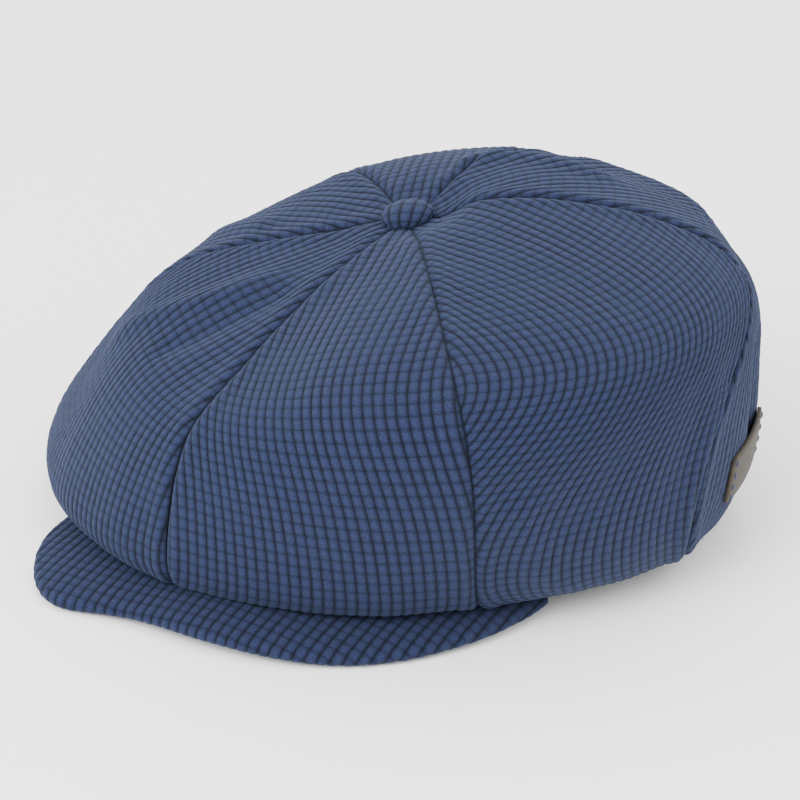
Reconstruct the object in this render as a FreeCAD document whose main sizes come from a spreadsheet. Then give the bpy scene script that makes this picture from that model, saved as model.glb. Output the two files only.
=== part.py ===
"""Newsboy cap: six fabric panels, covered button, short stiffened brim, lining and sweatband.

Units are millimetres.  While it is drawn, the cap sits in its head frame: the head opening is
centred on X = Y = 0, the wearer looks along -Y, the wearer's left is +X and +Z is up.  At the
end every sub-part is placed so that the origin is the centre of the whole cap's footprint, on
the surface that it rests on.
"""
import FreeCAD, Part
import math
import os
import Sketcher

DOC = FreeCAD.newDocument("newsboy_cap")
Vector = FreeCAD.Vector
XY = "XY_Plane"
XZ = "XZ_Plane"

# ---------------------------------------------------------------------------------------------
# Driving dimensions
# ---------------------------------------------------------------------------------------------
DIMENSIONS = {
    # head opening, an ellipse for a 58 cm head, in a plane that rises towards the front
    "head_half_width": 84.0,
    "head_half_length": 101.0,
    "head_mid_height": 12.0,
    "head_rise": 8.0,
    "head_turn": 9.0,
    # fabric thicknesses
    "crown_fabric": 1.8,
    "lining_fabric": 0.6,
    "lining_gap": 0.5,
    "seam_gap": 0.3,
    "hem_gap": 1.2,
    # crown
    "crown_centre_height": 116.0,
    "crown_hole_radius": 3.8,
    "seat_radius": 9.0,
    "seat_blend": 20.0,
    "seat_tilt": 9.0,
    "seat_azimuth": -30.0,
    "hem_reach": 14.0,
    "dip_half_width": 55.0,
    "tuck_azimuth": 80.0,
    "tuck_half_width": 75.0,
    # button
    "button_diameter": 20.0,
    "button_dome": 7.5,
    "button_wall": 0.5,
    "button_cloth": 1.1,
    "button_backing": 13.0,
    "shank_diameter": 4.0,
    "shank_length": 7.0,
    "shank_bore": 2.0,
    "thread_diameter": 1.2,
    "thread_length": 9.0,
    # brim
    "brim_half_width": 93.0,
    "brim_front_reach": 147.0,
    "brim_corner_reach": 60.0,
    "brim_squareness_left": 1.1,
    "brim_squareness_right": 0.4,
    "brim_lobe_reach": 14.0,
    "brim_lobe_side": 67.0,
    "brim_lobe_width": 24.0,
    "brim_low_edge": 3.0,
    "brim_low_at": 0.66,
    "brim_arch": 3.0,
    "brim_side_rise": 2.0,
    "brim_root_angle": 54.0,
    "brim_root_drop": 9.0,
    "brim_camber": 1.6,
    "brim_board": 2.2,
    "brim_top_cloth": 1.8,
    "brim_under_cloth": 1.2,
    "brim_hem": 3.0,
    "ply_gap": 0.2,
    # sweatband
    "band_height": 32.0,
    "band_wall": 1.6,
    "band_gap": 0.4,
    # side label
    "label_length": 34.0,
    "label_width": 20.0,
    "label_wall": 1.6,
    "label_azimuth": 136.0,
    "label_height": 37.0,
    "stitch_diameter": 0.8,
    "stitch_length": 3.0,
    "stitch_pitch": 4.5,
    "stitch_inset": 2.2,
    # woven tabs inside
    "size_tab_width": 16.0,
    "size_tab_length": 12.0,
    "care_tab_width": 28.0,
    "care_tab_length": 40.0,
    "tab_wall": 0.4,
}

# Rings of the crown.  Azimuths run from the front towards the wearer's left.  The reach is from
# the axis; "ahead" is added at the front and taken off at the rear, and "left" likewise from
# left to right.  The dip is at the centre front, the tuck is over the left ear, and the lean is
# how far round, in degrees, the slumped cloth has swung where it leans most.
RING_DIMENSIONS = ("reach", "reach_ahead", "reach_left", "height", "rise_ahead", "rise_left",
                   "dip", "tuck", "lean", "lean_azimuth", "lean_half_width")
CROWN_RINGS = {
    "top": (55, -6, 0, 116, -10, 8, 0, 0, 13, 60, 60),
    "shoulder": (107, -3, 19, 99, -2, 8, 13, 0, 13, 60, 60),
    "full": (132, 2, 10, 56, -3, 3, 0, 0, 30, 110, 85),
    "fold": (128, 4, -5, 8, 5, 0, 0, 10, 20, 110, 85),
}
STATION_COUNT = 12
STATION_STEP = 360.0 / STATION_COUNT
# where the button, the four rings, the hem's two points and the head seam lie along the cloth
PROFILE_PARAMETERS = [0.0, 0.22, 0.42, 0.66, 0.84, 0.93, 0.965, 1.0]

PANEL_NAMES = ("front_left", "side_left", "rear_left", "rear_right", "side_right", "front_right")
PANEL_SPAN = 60.0
PANEL_ROWS = 34
PANEL_COLUMNS = 13
BRIM_ROWS = 9
BRIM_COLUMNS = 37


def make_sheet():
    """Fill the spreadsheet: one row per dimension, each with an alias."""
    sheet = DOC.addObject("Spreadsheet::Sheet", "Dimensions")
    rows = list(DIMENSIONS.items())
    for ring, values in CROWN_RINGS.items():
        rows += [(f"{ring}_{name}", value) for name, value in zip(RING_DIMENSIONS, values)]
    for row, (alias, value) in enumerate(rows, start=1):
        sheet.set(f"A{row}", alias)
        sheet.set(f"B{row}", str(value))
        sheet.setAlias(f"B{row}", alias)
    DOC.recompute()
    return sheet


SHEET = make_sheet()


def dim(alias):
    """Value of one driving dimension."""
    return float(getattr(SHEET, alias))


# ---------------------------------------------------------------------------------------------
# Small helpers
# ---------------------------------------------------------------------------------------------
def turned(point, degrees):
    """Point swung round the head's axis."""
    angle = math.radians(degrees)
    cos_a = math.cos(angle)
    sin_a = math.sin(angle)
    return Vector(cos_a * point.x - sin_a * point.y, sin_a * point.x + cos_a * point.y, point.z)


def head_height(azimuth):
    """Height of the head seam at an azimuth in degrees, 0 at the front of the head opening."""
    return dim("head_mid_height") + dim("head_rise") * math.cos(math.radians(azimuth))


def head_point(azimuth, outset=0.0, lift=0.0):
    """Point on the head seam's turned ellipse, set out by a distance and lifted."""
    own = azimuth - dim("head_turn")
    angle = math.radians(own)
    x = (dim("head_half_width") + outset) * math.sin(angle)
    y = -(dim("head_half_length") + outset) * math.cos(angle)
    return turned(Vector(x, y, head_height(own) + lift), dim("head_turn"))


def interpolated(points, parameters):
    """Open cubic spline through points at the given parameters."""
    curve = Part.BSplineCurve()
    curve.interpolate(Points=points, Parameters=parameters)
    return curve


def closed_ring(points):
    """Closed cubic spline through points, one parameter unit apart."""
    curve = Part.BSplineCurve()
    parameters = [float(i) for i in range(len(points) + 1)]
    curve.interpolate(Points=points, PeriodicFlag=True, Parameters=parameters)
    return curve


def surface_through(grid):
    """Smooth surface through a grid of points."""
    surface = Part.BSplineSurface()
    surface.interpolate(grid)
    return surface


def sheet_solid(outer, inner):
    """Closed solid between two grids of points of the same size."""
    outside = surface_through(outer)
    inside = surface_through(inner)
    faces = [outside.toShape(), inside.toShape()]

    def borders(surface):
        first_u, last_u, first_v, last_v = surface.bounds()
        return (surface.uIso(first_u), surface.uIso(last_u), surface.vIso(first_v), surface.vIso(last_v))

    keep_direction = 1
    for border_a, border_b in zip(borders(outside), borders(inside)):
        faces.append(Part.makeRuledSurface(border_a.toShape(), border_b.toShape(), keep_direction))
    skin = Part.makeCompound(faces)
    skin.sewShape(0.01)
    solid = Part.Solid(skin.Shells[0])
    if solid.Volume < 0:
        solid.reverse()
    return solid


def add_feature(label, shape):
    """Part::Feature that holds a finished shape."""
    feature = DOC.addObject("Part::Feature", label)
    feature.Label = label
    feature.Shape = shape
    return feature


def add_body(label):
    """PartDesign body with a label."""
    body = DOC.addObject("PartDesign::Body", label)
    body.Label = label
    return body


def add_sketch(body, name, plane):
    """Sketch on one of the body's own origin planes."""
    sketch = body.newObject("Sketcher::SketchObject", name)
    support = [f for f in body.Origin.OriginFeatures if f.Role == plane][0]
    sketch.AttachmentSupport = [(support, "")]
    sketch.MapMode = "FlatFace"
    return sketch


def bind(sketch, kind, geometry, expression, *points):
    """Dimension in a sketch, driven by the spreadsheet."""
    value = 1.0
    args = [kind, *(points or (geometry,)), value]
    index = sketch.addConstraint(Sketcher.Constraint(*args))
    sketch.setExpression(f"Constraints[{index}]", expression)
    return index


# ---------------------------------------------------------------------------------------------
# Crown surface
# ---------------------------------------------------------------------------------------------
def hump(azimuth, centre, half_width):
    """Smooth hump round the cap: 1 at its centre and 0 past its half width."""
    gap = abs((azimuth - centre + 180.0) % 360.0 - 180.0)
    return 0.5 + 0.5 * math.cos(math.pi * min(gap / half_width, 1.0))


def ring_point(ring, azimuth):
    """Where one ring of the crown crosses a station."""
    size = {name: dim(f"{ring}_{name}") for name in RING_DIMENSIONS}
    ahead = math.cos(math.radians(azimuth))
    left = math.sin(math.radians(azimuth))
    dip = size["dip"] * hump(azimuth, 0.0, dim("dip_half_width"))
    tuck = size["tuck"] * hump(azimuth, dim("tuck_azimuth"), dim("tuck_half_width"))
    lean = size["lean"] * hump(azimuth, size["lean_azimuth"], size["lean_half_width"])
    reach = size["reach"] + size["reach_ahead"] * ahead + size["reach_left"] * left - tuck
    height = size["height"] + size["rise_ahead"] * ahead + size["rise_left"] * left - dip
    angle = math.radians(azimuth - lean)
    return Vector(reach * math.sin(angle), -reach * math.cos(angle), height)


def station_profile(index):
    """Spline down the cloth at one station, from the button to the head seam."""
    azimuth = index * STATION_STEP
    points = [Vector(0, 0, dim("crown_centre_height"))]
    points += [ring_point(ring, azimuth) for ring in CROWN_RINGS]
    points.append(head_point(azimuth, dim("hem_reach")))
    points.append(head_point(azimuth, dim("hem_reach") / 2))
    points.append(head_point(azimuth, dim("hem_gap")))
    return interpolated(points, PROFILE_PARAMETERS)


PROFILES = [station_profile(index) for index in range(STATION_COUNT)]
RINGS = {}


def seat_height(x, y):
    """Height of the flat seat under the button, which leans a little to the front and right."""
    angle = math.radians(dim("seat_azimuth"))
    slope = math.tan(math.radians(dim("seat_tilt")))
    return dim("crown_centre_height") - slope * (x * math.sin(angle) - y * math.cos(angle))


def crown_point(along, azimuth):
    """Point on the outside of the crown: along is 0 at the button and 1 at the head seam."""
    key = round(along, 6)
    if key not in RINGS:
        RINGS[key] = closed_ring([profile.value(key) for profile in PROFILES])
    point = RINGS[key].value((azimuth / STATION_STEP) % STATION_COUNT)
    spread = (math.hypot(point.x, point.y) - dim("seat_radius")) / dim("seat_blend")
    spread = min(max(spread, 0.0), 1.0)
    rise = spread * spread * (3 - 2 * spread)
    point.z = seat_height(point.x, point.y) * (1 - rise) + point.z * rise
    return point


def crown_inside(along, azimuth, depth):
    """Point a depth inside the crown's outer surface, square to it."""
    step_along = 0.004
    step_round = 0.4
    low = max(along - step_along, 0.004)
    high = min(along + step_along, 1.0)
    down = crown_point(high, azimuth) - crown_point(low, azimuth)
    across = crown_point(along, azimuth + step_round) - crown_point(along, azimuth - step_round)
    inward = across.cross(down)
    inward.normalize()
    return crown_point(along, azimuth) + inward * depth


def start_along():
    """Where the cloth starts at the edge of the hole under the button."""
    return PROFILE_PARAMETERS[1] * dim("crown_hole_radius") / (dim("top_reach") + dim("top_reach_ahead"))


def panel_grid(index, depth, end_along):
    """Grid of points over one gore, a depth inside the crown's outer surface."""
    first = start_along()
    middle = (index + 0.5) * PANEL_SPAN
    grid = []
    for row in range(PANEL_ROWS):
        along = first + (end_along - first) * row / (PANEL_ROWS - 1)
        edge = crown_point(along, middle)
        reach = math.hypot(edge.x, edge.y)
        half = 0.5 * PANEL_SPAN - math.degrees(0.5 * dim("seam_gap") / reach)
        azimuths = [middle - half + 2 * half * c / (PANEL_COLUMNS - 1) for c in range(PANEL_COLUMNS)]
        grid.append([crown_inside(along, azimuth, depth) for azimuth in azimuths])
    return grid


def make_crown():
    """Six crown panels and the six lining panels under them."""
    crown_end = 1.0
    lining_end = 0.985
    fabric = dim("crown_fabric")
    lining = dim("lining_fabric")
    for index, name in enumerate(PANEL_NAMES):
        outside = panel_grid(index, 0.0, crown_end)
        inside = panel_grid(index, fabric, crown_end)
        add_feature(f"crown_panel_{name}", sheet_solid(outside, inside))
        near = fabric + dim("lining_gap")
        lining_outside = panel_grid(index, near, lining_end)
        lining_inside = panel_grid(index, near + lining, lining_end)
        add_feature(f"lining_panel_{name}", sheet_solid(lining_outside, lining_inside))


# ---------------------------------------------------------------------------------------------
# Button
# ---------------------------------------------------------------------------------------------
def dome_sketch(body, name, radius, height, wall):
    """Half section of a domed cap with an open bottom, in the XZ plane, round the Z axis."""
    sketch = add_sketch(body, name, XZ)

    def arc_points(half, rise):
        curve = (half * half + rise * rise) / (2 * rise)
        tilt = math.asin(min(1.0, half / curve))
        return curve, tilt

    outer_curve, outer_tilt = arc_points(radius, height)
    inner_curve, inner_tilt = arc_points(radius - wall, height - wall)
    outer_centre = height - outer_curve
    inner_centre = height - wall - inner_curve
    up = Vector(0, 0, 1)
    outer_circle = Part.Circle(Vector(0, outer_centre, 0), up, outer_curve)
    inner_circle = Part.Circle(Vector(0, inner_centre, 0), up, inner_curve)
    right = math.pi / 2
    sketch.addGeometry(Part.ArcOfCircle(outer_circle, right - outer_tilt, right))
    sketch.addGeometry(Part.ArcOfCircle(inner_circle, right - inner_tilt, right))
    sketch.addGeometry(Part.LineSegment(Vector(0, height - wall, 0), Vector(0, height, 0)))
    sketch.addGeometry(Part.LineSegment(Vector(radius - wall, 0, 0), Vector(radius, 0, 0)))
    for first, first_end, second, second_end in ((0, 2, 2, 2), (1, 2, 2, 1), (1, 1, 3, 1), (0, 1, 3, 2)):
        sketch.addConstraint(Sketcher.Constraint("Coincident", first, first_end, second, second_end))
    return sketch


def revolve(body, sketch, name):
    """Turn a sketch once round the body's Z axis."""
    turn = body.newObject("PartDesign::Revolution", name)
    turn.Profile = sketch
    turn.ReferenceAxis = (sketch, ["V_Axis"])
    turn.Angle = 360
    body.Tip = turn
    return turn


def make_button():
    """Metal button shell, cloth cover, shank plate and the thread that holds it."""
    lean = FreeCAD.Rotation(turned(Vector(1, 0, 0), dim("seat_azimuth")), dim("seat_tilt"))
    centre = Vector(0, 0, dim("crown_centre_height"))

    def on_seat(height):
        return FreeCAD.Placement(centre + lean.multVec(Vector(0, 0, height)), lean)

    seat_gap = 1.4
    radius = dim("button_diameter") / 2
    cloth = dim("button_cloth")
    wall = dim("button_wall")
    dome = dim("button_dome")

    cover = add_body("button_cover")
    revolve(cover, dome_sketch(cover, "CoverSection", radius, dome, cloth), "CoverDome")
    cover.Placement = on_seat(seat_gap)

    shell = add_body("button_shell")
    gap = dim("ply_gap")
    shell_sketch = dome_sketch(shell, "ShellSection", radius - cloth - gap, dome - cloth - gap, wall)
    revolve(shell, shell_sketch, "ShellDome")
    shell.Placement = on_seat(seat_gap)

    back = add_body("button_back")
    disc = add_sketch(back, "BackDisc", XY)
    disc.addGeometry(Part.Circle(Vector(0, 0, 0), Vector(0, 0, 1), 6.0))
    disc.addConstraint(Sketcher.Constraint("Coincident", 0, 3, -1, 1))
    bind(disc, "Diameter", 0, "Dimensions.button_backing")
    plate = back.newObject("PartDesign::Pad", "BackPlate")
    plate.Profile = disc
    plate.setExpression("Length", "Dimensions.button_wall")
    shank_sketch = add_sketch(back, "ShankRing", XY)
    for alias in ("shank_diameter", "shank_bore"):
        circle = shank_sketch.addGeometry(Part.Circle(Vector(0, 0, 0), Vector(0, 0, 1), 2.0))
        shank_sketch.addConstraint(Sketcher.Constraint("Coincident", circle, 3, -1, 1))
        bind(shank_sketch, "Diameter", circle, f"Dimensions.{alias}")
    shank = back.newObject("PartDesign::Pad", "Shank")
    shank.Profile = shank_sketch
    shank.Reversed = True
    shank.setExpression("Length", "Dimensions.shank_length")
    back.Tip = shank
    back.Placement = on_seat(seat_gap + gap)

    thread = DOC.addObject("Part::Cylinder", "button_thread")
    thread.Label = "button_thread"
    thread.setExpression("Radius", "Dimensions.thread_diameter / 2")
    thread.setExpression("Height", "Dimensions.thread_length")
    thread.Placement = on_seat(seat_gap - dim("thread_length"))


# ---------------------------------------------------------------------------------------------
# Brim
# ---------------------------------------------------------------------------------------------
def brim_point(across, out):
    """Point on the brim's middle surface: across is -1 to 1, out is 0 at the head seam, 1 at the edge."""
    turn = dim("head_turn")
    root = head_point(across * dim("brim_root_angle") + turn, 2.0, -dim("brim_root_drop"))
    sine = math.sin(across * math.pi / 2)
    deep = max(math.cos(across * math.pi / 2), 0.0)
    right, left = dim("brim_squareness_right"), dim("brim_squareness_left")
    squareness = right + (left - right) * (0.5 + 0.5 * sine)
    reach = dim("brim_front_reach") - dim("brim_corner_reach")
    edge_x = dim("brim_half_width") * sine
    lobe = dim("brim_lobe_reach") * math.exp(-((edge_x + dim("brim_lobe_side")) / dim("brim_lobe_width")) ** 2)
    edge_y = -(dim("brim_corner_reach") + reach * deep ** squareness + lobe)
    low_at = dim("brim_low_at")
    inner = max(1 - (sine / low_at) ** 2, 0) ** 2
    outer = max((abs(sine) - low_at) / (1 - low_at), 0) ** 1.3
    edge_z = dim("brim_low_edge") + dim("brim_arch") * inner + dim("brim_side_rise") * outer
    edge = turned(Vector(edge_x, edge_y, edge_z), turn)
    point = root + (edge - root) * out
    point.z += dim("brim_camber") * 4 * out * (1 - out) * (0.4 + 0.6 * deep)
    return point


def brim_grid(height, last_out):
    """Grid of points a height above the brim's middle surface, from the head seam outwards."""
    step = 0.02
    grid = []
    for row in range(BRIM_ROWS):
        out = last_out * row / (BRIM_ROWS - 1)
        line = []
        for column in range(BRIM_COLUMNS):
            across = -1 + 2 * column / (BRIM_COLUMNS - 1)
            low, high = max(across - step, -1), min(across + step, 1)
            tangent = brim_point(high, out) - brim_point(low, out)
            outward = brim_point(across, out + step) - brim_point(across, out - step)
            up = outward.cross(tangent)
            up.normalize()
            line.append(brim_point(across, out) + up * height)
        grid.append(line)
    return grid


def make_brim():
    """Board of the brim with its top and under covers."""
    half = dim("brim_board") / 2
    gap = dim("ply_gap")
    top = dim("brim_top_cloth")
    under = dim("brim_under_cloth")
    hemmed = 1 + dim("brim_hem") / (dim("brim_front_reach") - dim("head_half_length"))
    layers = (
        ("brim_core", half, -half, 1.0),
        ("brim_top_cover", half + gap + top, half + gap, hemmed),
        ("brim_under_cover", -half - gap, -half - gap - under, hemmed),
    )
    for name, upper, lower, last_out in layers:
        add_feature(name, sheet_solid(brim_grid(upper, last_out), brim_grid(lower, last_out)))


# ---------------------------------------------------------------------------------------------
# Sweatband and labels
# ---------------------------------------------------------------------------------------------
def make_sweatband():
    """Elliptical band that stands up inside the head opening, in the tilted head plane."""
    band = add_body("sweatband")
    sketch = add_sketch(band, "BandSection", XY)
    outset = -dim("band_gap")
    for inset in (0.0, dim("band_wall")):
        half_long = dim("head_half_length") + outset - inset
        half_wide = dim("head_half_width") + outset - inset
        centre = Vector(0, 0, 0)
        sketch.addGeometry(Part.Ellipse(Vector(0, half_long, 0), Vector(half_wide, 0, 0), centre))
    pad = band.newObject("PartDesign::Pad", "BandHeight")
    pad.Profile = sketch
    pad.setExpression("Length", "Dimensions.band_height")
    band.Tip = pad
    tilt = math.degrees(math.atan2(dim("head_rise"), dim("head_half_length")))
    lean = FreeCAD.Rotation(Vector(0, 0, 1), dim("head_turn")) * FreeCAD.Rotation(Vector(1, 0, 0), -tilt)
    band.Placement = FreeCAD.Placement(Vector(0, 0, dim("head_mid_height")), lean)


def along_at_height(azimuth, height):
    """Where the crown's side wall passes a height, by halving."""
    low, high = PROFILE_PARAMETERS[2], PROFILE_PARAMETERS[4]
    for _ in range(30):
        middle = 0.5 * (low + high)
        if crown_point(middle, azimuth).z > height:
            low = middle
        else:
            high = middle
    return 0.5 * (low + high)


def label_point(across, up, outset):
    """Point over the side label: across and up in mm from its centre, outset from the crown."""
    centre_azimuth = dim("label_azimuth")
    centre_along = along_at_height(centre_azimuth, dim("label_height"))
    centre = crown_point(centre_along, centre_azimuth)
    reach = math.hypot(centre.x, centre.y)
    step = 0.01
    slope = crown_point(centre_along + step, centre_azimuth) - crown_point(centre_along - step, centre_azimuth)
    per_along = slope.Length / (2 * step)
    azimuth = centre_azimuth + math.degrees(across / reach)
    return crown_inside(centre_along - up / per_along, azimuth, -outset)


def plate_body(label, width, length, wall):
    """Flat rectangular piece, centred on its own origin."""
    body = add_body(label)
    sketch = add_sketch(body, label + "_outline", XY)
    half_x = dim(width) / 2
    half_y = dim(length) / 2
    corners = [Vector(-half_x, -half_y, 0), Vector(half_x, -half_y, 0),
               Vector(half_x, half_y, 0), Vector(-half_x, half_y, 0)]
    for index in range(4):
        sketch.addGeometry(Part.LineSegment(corners[index], corners[(index + 1) % 4]))
    for index in range(4):
        follow = (index + 1) % 4
        sketch.addConstraint(Sketcher.Constraint("Coincident", index, 2, follow, 1))
    for index, kind in enumerate(("Horizontal", "Vertical", "Horizontal", "Vertical")):
        sketch.addConstraint(Sketcher.Constraint(kind, index))
    sketch.addConstraint(Sketcher.Constraint("Symmetric", 0, 1, 2, 1, -1, 1))
    bind(sketch, "DistanceX", 0, f"Dimensions.{width}", 0, 1, 0, 2)
    bind(sketch, "DistanceY", 1, f"Dimensions.{length}", 1, 1, 1, 2)
    pad = body.newObject("PartDesign::Pad", label + "_wall")
    pad.Profile = sketch
    pad.setExpression("Length", f"Dimensions.{wall}")
    body.Tip = pad
    return body


def label_grid(outset):
    """Grid of points over the side label at an outset from the crown."""
    half_x = dim("label_length") / 2
    half_y = dim("label_width") / 2
    columns = 9
    rows = 6
    ups = [half_y - 2 * half_y * row / (rows - 1) for row in range(rows)]
    acrosses = [-half_x + 2 * half_x * column / (columns - 1) for column in range(columns)]
    return [[label_point(across, up, outset) for across in acrosses] for up in ups]


def stitch_bars():
    """Short thread bars along both ends of the side label, standing on its face."""
    half_x = dim("label_length") / 2 - dim("stitch_inset")
    half_y = dim("label_width") / 2 - dim("stitch_inset")
    radius = dim("stitch_diameter") / 2
    outset = dim("ply_gap") + dim("label_wall") + radius
    count = int(2 * half_y // dim("stitch_pitch")) + 1
    bars = []
    for side in (-half_x, half_x):
        for number in range(count):
            middle = (number - (count - 1) / 2) * dim("stitch_pitch")
            start = label_point(side, middle - dim("stitch_length") / 2, outset)
            end = label_point(side, middle + dim("stitch_length") / 2, outset)
            bars.append(Part.makeCylinder(radius, (end - start).Length, start, end - start))
    return Part.makeCompound(bars)


def make_labels():
    """Leather side label with its stitches, and two plain woven tabs inside."""
    near = dim("ply_gap")
    far = near + dim("label_wall")
    add_feature("side_label", sheet_solid(label_grid(far), label_grid(near)))
    add_feature("side_label_stitches", stitch_bars())

    inner_reach = dim("head_half_length") - dim("band_gap") - dim("band_wall") - 0.7
    tilt = math.atan2(dim("head_rise"), dim("head_half_length"))
    facing_front = FreeCAD.Rotation(Vector(1, 0, 0), 90 - math.degrees(tilt))
    swing = FreeCAD.Rotation(Vector(0, 0, 1), dim("head_turn"))
    for name, width, length, lift in (("size_tab", "size_tab_width", "size_tab_length", 10.0),
                                      ("care_tab", "care_tab_width", "care_tab_length", 58.0)):
        tab = plate_body(name, width, length, "tab_wall")
        along_y = inner_reach if name == "size_tab" else inner_reach + 1.0
        height = head_height(180) + lift
        lean = lift * math.sin(tilt)
        place = turned(Vector(0, along_y - lean, height), dim("head_turn"))
        tab.Placement = FreeCAD.Placement(place, swing * facing_front)


# ---------------------------------------------------------------------------------------------
# Build, place, check and write
# ---------------------------------------------------------------------------------------------
make_crown()
make_button()
make_brim()
make_sweatband()
make_labels()
DOC.recompute()

SUB_PARTS = [o for o in DOC.Objects
             if o.TypeId in ("PartDesign::Body", "Part::Feature", "Part::Cylinder")]
whole = FreeCAD.BoundBox()
for item in SUB_PARTS:
    whole.add(item.Shape.optimalBoundingBox(False))
SHIFT = Vector(-whole.Center.x, -whole.Center.y, -whole.ZMin)
for item in SUB_PARTS:
    item.Placement.Base = item.Placement.Base + SHIFT
DOC.recompute()

for item in DOC.Objects:
    if "Invalid" in item.State or "Error" in item.State:
        raise RuntimeError(f"{item.Label} failed: {item.State}")
os.makedirs("parts", exist_ok=True)
for item in SUB_PARTS:
    if item.Shape.isNull() or not item.Shape.isValid():
        raise RuntimeError(f"{item.Label} has no valid shape")
    item.Shape.exportStep(f"parts/{item.Label}.step")
    box = item.Shape.optimalBoundingBox(False)
    print(f"{item.Label:32s} {item.Shape.Volume:10.1f} mm3  x {box.XMin:7.1f} {box.XMax:7.1f}"
          f"  y {box.YMin:7.1f} {box.YMax:7.1f}  z {box.ZMin:6.1f} {box.ZMax:6.1f}")
print("shift", SHIFT, "size", whole.XLength, whole.YLength, whole.ZLength)
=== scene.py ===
"""Looks of the newsboy cap: fabric panels with a waffle knit, covered button, brim, lining and tabs.

Lengths are in millimetres in the cap's head frame while a shape is worked out (head opening
centred on X = Y = 0, the wearer looks along -Y) and in metres in the row frame once it is a mesh.
"""
import math

import bpy
import numpy as np
from mathutils import Matrix, Vector


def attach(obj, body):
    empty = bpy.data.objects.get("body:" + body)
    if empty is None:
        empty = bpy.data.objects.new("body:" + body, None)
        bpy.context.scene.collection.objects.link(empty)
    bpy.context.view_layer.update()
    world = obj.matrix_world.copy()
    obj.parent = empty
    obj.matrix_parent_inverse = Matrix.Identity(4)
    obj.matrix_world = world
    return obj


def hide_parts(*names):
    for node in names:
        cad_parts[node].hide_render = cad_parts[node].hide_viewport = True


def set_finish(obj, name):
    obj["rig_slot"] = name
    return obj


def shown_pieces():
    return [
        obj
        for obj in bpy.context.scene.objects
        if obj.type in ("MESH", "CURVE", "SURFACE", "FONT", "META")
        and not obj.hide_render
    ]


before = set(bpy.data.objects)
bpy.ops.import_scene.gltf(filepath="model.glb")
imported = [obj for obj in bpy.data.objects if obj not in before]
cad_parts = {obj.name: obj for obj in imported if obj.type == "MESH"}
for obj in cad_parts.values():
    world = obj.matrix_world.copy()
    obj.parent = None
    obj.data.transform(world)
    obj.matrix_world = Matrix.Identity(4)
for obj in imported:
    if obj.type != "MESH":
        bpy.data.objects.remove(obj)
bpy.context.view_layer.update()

FINE = 1.0
MM = 0.001
# from the head frame to the row frame
FRAME_SHIFT = np.array([0.356, 15.254, 0.280])

# ------------------------------------------------------------------------------- dimensions
HEAD_HALF_WIDTH = 84.0
HEAD_HALF_LENGTH = 101.0
HEAD_MID_HEIGHT = 12.0
HEAD_RISE = 8.0
HEM_REACH = 14.0
HEM_GAP = 1.2
HEAD_TURN = 9.0
CENTRE_HEIGHT = 116.0
SEAT_RADIUS = 9.0
SEAT_BLEND = 20.0
SEAT_TILT = math.radians(9.0)
SEAT_AZIMUTH = math.radians(-30.0)

# Rings of the crown, by reach from the axis and by height.  Each row: reach, more of it ahead,
# more of it to the left; height, rise ahead, rise to the left; dip at the centre front; tuck in
# over the left ear; lean of the cloth in degrees, the azimuth where it is greatest and its half
# width.  Azimuths run from the front towards the wearer's left.
CROWN_RINGS = {
    "top": (55, -6, 0, 116, -10, 8, 0, 0, 13, 60, 60),
    "shoulder": (107, -3, 19, 99, -2, 8, 13, 0, 13, 60, 60),
    "full": (132, 2, 10, 56, -3, 3, 0, 0, 30, 110, 85),
    "fold": (128, 4, -5, 8, 5, 0, 0, 10, 20, 110, 85),
}
DIP_HALF_WIDTH = 55.0
TUCK_AZIMUTH = 80.0
TUCK_HALF_WIDTH = 75.0
STATION_COUNT = 12
STATION_STEP = 360.0 / STATION_COUNT
PROFILE_AT = np.array([0.0, 0.22, 0.42, 0.66, 0.84, 0.93, 0.965, 1.0])
PANELS = ("front_left", "side_left", "rear_left", "rear_right", "side_right", "front_right")
PANEL_SPAN = 60.0

# waffle knit: width and length of a cell, its height, and the distance given to cloth with no seam
WALE = 4.1
COURSE = 4.6
WAFFLE_HEIGHT = 0.55
FAR_FROM_SEAM = 20.0
# cloth beside a gore seam: the ridge that stands up and the valley that the stitches pull in
SEAM_RIDGE = 0.6
SEAM_RIDGE_AT = 4.5
SEAM_RIDGE_WIDTH = 3.4
SEAM_DEPTH = 1.0
SEAM_WIDTH = 1.5
CROWN_START = 0.012
LINING_START = 0.03
LINING_END = 0.985
LINING_DEPTH = 3.6
LINING_EDGE_DEPTH = 2.6

# ------------------------------------------------------------------------------- splines


def second_derivatives(at, values):
    """Second derivatives of the natural cubic spline through values (n, ...) at knots."""
    n = len(at)
    h = np.diff(at)
    matrix = np.eye(n)
    right = np.zeros_like(values, float)
    slope = (values[1:] - values[:-1]) / h.reshape(-1, *([1] * (values.ndim - 1)))
    for i in range(1, n - 1):
        matrix[i, i - 1] = h[i - 1]
        matrix[i, i] = 2 * (h[i - 1] + h[i])
        matrix[i, i + 1] = h[i]
        right[i] = 6 * (slope[i] - slope[i - 1])
    flat = np.linalg.solve(matrix, right.reshape(n, -1))
    return flat.reshape(right.shape)


def natural_spline(at, values, where):
    """Natural cubic spline through values at knots, read at where: (len(where), ...)."""
    bend = second_derivatives(at, values)
    i = np.clip(np.searchsorted(at, where, side="right") - 1, 0, len(at) - 2)
    h = (at[i + 1] - at[i]).reshape(-1, *([1] * (values.ndim - 1)))
    b = (where - at[i]).reshape(h.shape) / h
    a = 1 - b
    cubic = ((a ** 3 - a) * bend[i] + (b ** 3 - b) * bend[i + 1]) * h * h / 6
    return a * values[i] + b * values[i + 1] + cubic


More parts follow.
